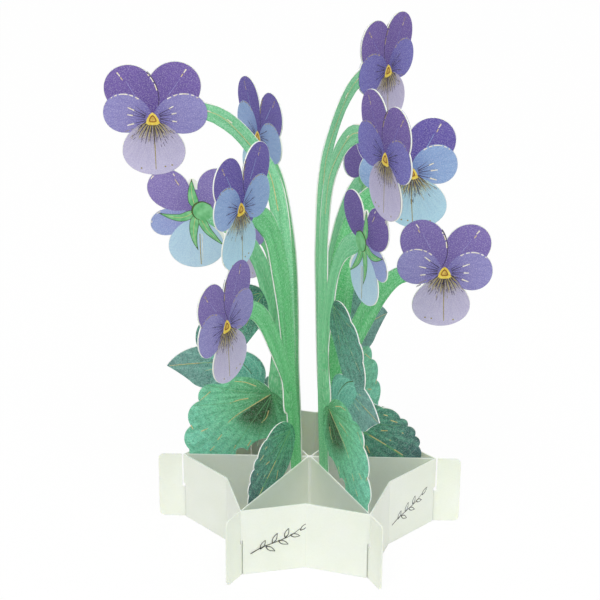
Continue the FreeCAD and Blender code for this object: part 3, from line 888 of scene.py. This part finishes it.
def draw_short(arm):
    art = Print(arm)
    art.stem(SHORT_STEM, 8, "stem_short")
    art.stem(SHORT_SIDE_STEM, 6, "stem_short")
    art.leaf(OVAL_LEAF, (10.6, 41.0), 320.0, "leaf_oval")
    art.stroke(smooth([(11.2, 40.6), (15.4, 37.6), (21.2, 33.2), (27.0, 29.2), (33.4, 24.0)]),
               "vein", 0.9, 0.4)
    art.order += 1
    leaf_veins(art, (10.4, 40.4), [(344.0, 22.0, 8.0), (8.0, 16.0, 8.0), (312.0, 20.0, -4.0)],
               "vein", seed=7)
    for a, b in (((21.0, 33.5), (26.8, 29.5)), ((25.0, 35.3), (27.3, 35.2)),
                 ((32.3, 34.4), (32.8, 34.1)), ((28.4, 39.4), (30.7, 38.5)),
                 ((28.0, 31.5), (28.5, 31.2)), ((19.9, 29.2), (21.0, 26.2)),
                 ((26.0, 41.6), (27.4, 41.2)), ((29.6, 27.6), (32.6, 25.3))):
        art.stroke([a, b], "gold", 0.4, 0.3)
    art.order += 1
    draw_flower(art, SHORT_PETALS[:5], ("violet_blue", "blue", "blue_pale"), (35.3, 132.7),
                (34.5, 132.6, 8.4), 1, 12)
    draw_flower(art, SHORT_PETALS[5:], ("violet_second", "lilac", "lilac_pale"), (46.5, 96.4),
                (46.3, 96.6, 4.0), 1, 13)
    art.build()


for tall_arm in ("left", "front_right", "rear_right"):
    draw_tall(tall_arm)
for short_arm in ("right", "front_left", "rear_left"):
    draw_short(short_arm)


# A plain sprig of leaves in grey line on two of the front walls

def wall_corner(arm):
    angle = math.radians(ARM_ANGLE[arm])
    return Vector((math.cos(angle), math.sin(angle))) * STAR_RADIUS


def wall_fold(angle_deg):
    angle = math.radians(angle_deg)
    return Vector((math.cos(angle), math.sin(angle))) * FOLD_RADIUS


def sprig_lines():
    """Strokes of a sprig 16 mm long: its stem, and leaves in pairs as closed lines."""
    strokes = [[(0.0, 0.0), (3.6, 1.8), (7.6, 3.0), (12.0, 4.6), (15.0, 6.6)]]
    for along, angle, size in ((3.0, 62.0, 3.2), (4.6, -34.0, 3.4), (6.6, 66.0, 3.6),
                               (8.4, -28.0, 3.4), (10.4, 70.0, 3.2), (12.0, -12.0, 3.0),
                               (15.0, 42.0, 3.4)):
        foot = (along, along * 0.4)
        way = math.radians(angle)
        for sign in (1, -1):
            strokes.append([(foot[0] + size * s * math.cos(way) - sign * bulge * math.sin(way),
                             foot[1] + size * s * math.sin(way) + sign * bulge * math.cos(way))
                            for s, bulge in ((0.0, 0.0), (0.3, 0.5), (0.6, 0.5), (1.0, 0.0))])
    return strokes


def draw_sprig(name, left, right, along, low, scale):
    """left and right are the ends of the wall as seen from outside, along is from the left end."""
    run = (right - left).normalized()
    outward = Vector((run.y, -run.x))
    points, faces = [], []
    for line in sprig_lines():
        outline = brush(smooth([(x * scale, z * scale) for x, z in line], 4), 0.34, 0.2)
        first = len(points)
        for x, z in outline:
            spot = left + run * (along + x) + outward * (CARD / 2.0 + 0.02)
            points.append(Vector((spot.x, spot.y, low + z)) * MM)
        faces.append(list(range(first, first + len(outline))))
    mesh = bpy.data.meshes.new(name)
    mesh.from_pydata(points, [], faces)
    mesh.materials.append(INK["grey"])
    made = bpy.data.objects.new(name, mesh)
    bpy.context.scene.collection.objects.link(made)
    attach(made, "root")


draw_sprig("sprig_front", wall_corner("front_left"), wall_fold(269.0), 3.0, 8.0, 1.15)
draw_sprig("sprig_right", wall_fold(329.0), wall_corner("right"), 1.6, 7.0, 1.0)


# White card on the carried-over sheets

card = white_card_material("white_card_look")
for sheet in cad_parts.values():
    for place in sheet.material_slots:
        place.material = card


# Floor, light and camera

FLOOR_GLOW = 0.95         # share of plain white in the floor that the camera sees
FLOOR_REACH = 4.0         # metres from the middle to an edge of the floor
FLOOR_DROP = 0.0001       # metres below the card, so that the two do not meet
SKY_LIGHT = 0.5           # strength of the light from all round
LAMP_SIZE = 0.6
LAMP_AIM = Vector((0.0, 0.0, 0.06))


def floor_material():
    g = Graph("floor_white")
    seen = g.node("ShaderNodeLightPath").outputs["Is Camera Ray"]
    matt = g.node("ShaderNodeBsdfDiffuse", (colour(244, 244, 242),)).outputs[0]
    bright = g.node("ShaderNodeEmission", ((1.0, 1.0, 1.0, 1.0), 1.0)).outputs[0]
    share = g.math("MULTIPLY", seen, FLOOR_GLOW)
    mixed = g.node("ShaderNodeMixShader", (share, matt, bright)).outputs[0]
    g.node("ShaderNodeOutputMaterial", (mixed,))
    return g.material


floor_mesh = bpy.data.meshes.new("floor")
floor_mesh.from_pydata([(x * FLOOR_REACH, y * FLOOR_REACH, -FLOOR_DROP)
                        for x, y in ((-1, -1), (1, -1), (1, 1), (-1, 1))], [], [(0, 1, 2, 3)])
floor_mesh.materials.append(floor_material())
floor = bpy.data.objects.new("floor", floor_mesh)
bpy.context.scene.collection.objects.link(floor)

world = bpy.data.worlds.new("studio")
bpy.context.scene.world = world
world.use_nodes = True
world.node_tree.nodes.clear()
sky = world.node_tree.nodes.new("ShaderNodeBackground")
sky.inputs[0].default_value = (1.0, 1.0, 1.0, 1.0)
sky.inputs[1].default_value = SKY_LIGHT
white = world.node_tree.nodes.new("ShaderNodeBackground")
white.inputs[0].default_value = (1.0, 1.0, 1.0, 1.0)
white.inputs[1].default_value = 1.0
path = world.node_tree.nodes.new("ShaderNodeLightPath")
blend = world.node_tree.nodes.new("ShaderNodeMixShader")
out = world.node_tree.nodes.new("ShaderNodeOutputWorld")
world.node_tree.links.new(path.outputs["Is Camera Ray"], blend.inputs[0])
world.node_tree.links.new(sky.outputs[0], blend.inputs[1])
world.node_tree.links.new(white.outputs[0], blend.inputs[2])
world.node_tree.links.new(blend.outputs[0], out.inputs[0])


def soft_light(name, spot, power):
    lamp = bpy.data.lights.new(name, "AREA")
    lamp.shape = "DISK"
    lamp.size = LAMP_SIZE
    lamp.energy = power
    made = bpy.data.objects.new(name, lamp)
    made.location = spot
    made.rotation_euler = (LAMP_AIM - Vector(spot)).to_track_quat("-Z", "Y").to_euler()
    bpy.context.scene.collection.objects.link(made)


soft_light("light_left", (-0.254, -0.697, 1.247), 6.0)
soft_light("light_right", (0.254, -0.697, 1.247), 6.0)
soft_light("light_rear", (0.0, 0.9, 1.0), 3.0)

# The camera of the photo, solved from the corners of the star
AZIMUTH = math.radians(0.902)
ELEVATION = math.radians(31.168)
ROLL = math.radians(0.446)
LOOK_AZIMUTH = AZIMUTH + math.radians(0.336)
LOOK_ELEVATION = ELEVATION - math.radians(5.858)
DISTANCE = 0.7563
FOCAL_SHARE = 2118.8 / 600.0      # focal length as a share of the frame width


def backward(azimuth, elevation):
    flat = math.cos(elevation)
    return Vector((math.sin(azimuth) * flat, -math.cos(azimuth) * flat, math.sin(elevation)))


back = backward(LOOK_AZIMUTH, LOOK_ELEVATION)
level = Vector((math.cos(LOOK_AZIMUTH), math.sin(LOOK_AZIMUTH), 0.0))
upward = back.cross(level)
right = level * math.cos(ROLL) + upward * math.sin(ROLL)
upward = upward * math.cos(ROLL) - level * math.sin(ROLL)
lens = bpy.data.cameras.new("camera")
lens.sensor_width = 36.0
lens.lens = lens.sensor_width * FOCAL_SHARE
lens.clip_start = 0.01
camera = bpy.data.objects.new("camera", lens)
spot = backward(AZIMUTH, ELEVATION) * DISTANCE
camera.matrix_world = Matrix.Translation(spot) @ Matrix((right, upward, back)).transposed().to_4x4()
bpy.context.scene.collection.objects.link(camera)
bpy.context.scene.camera = camera

bpy.context.scene.view_settings.view_transform = "Standard"
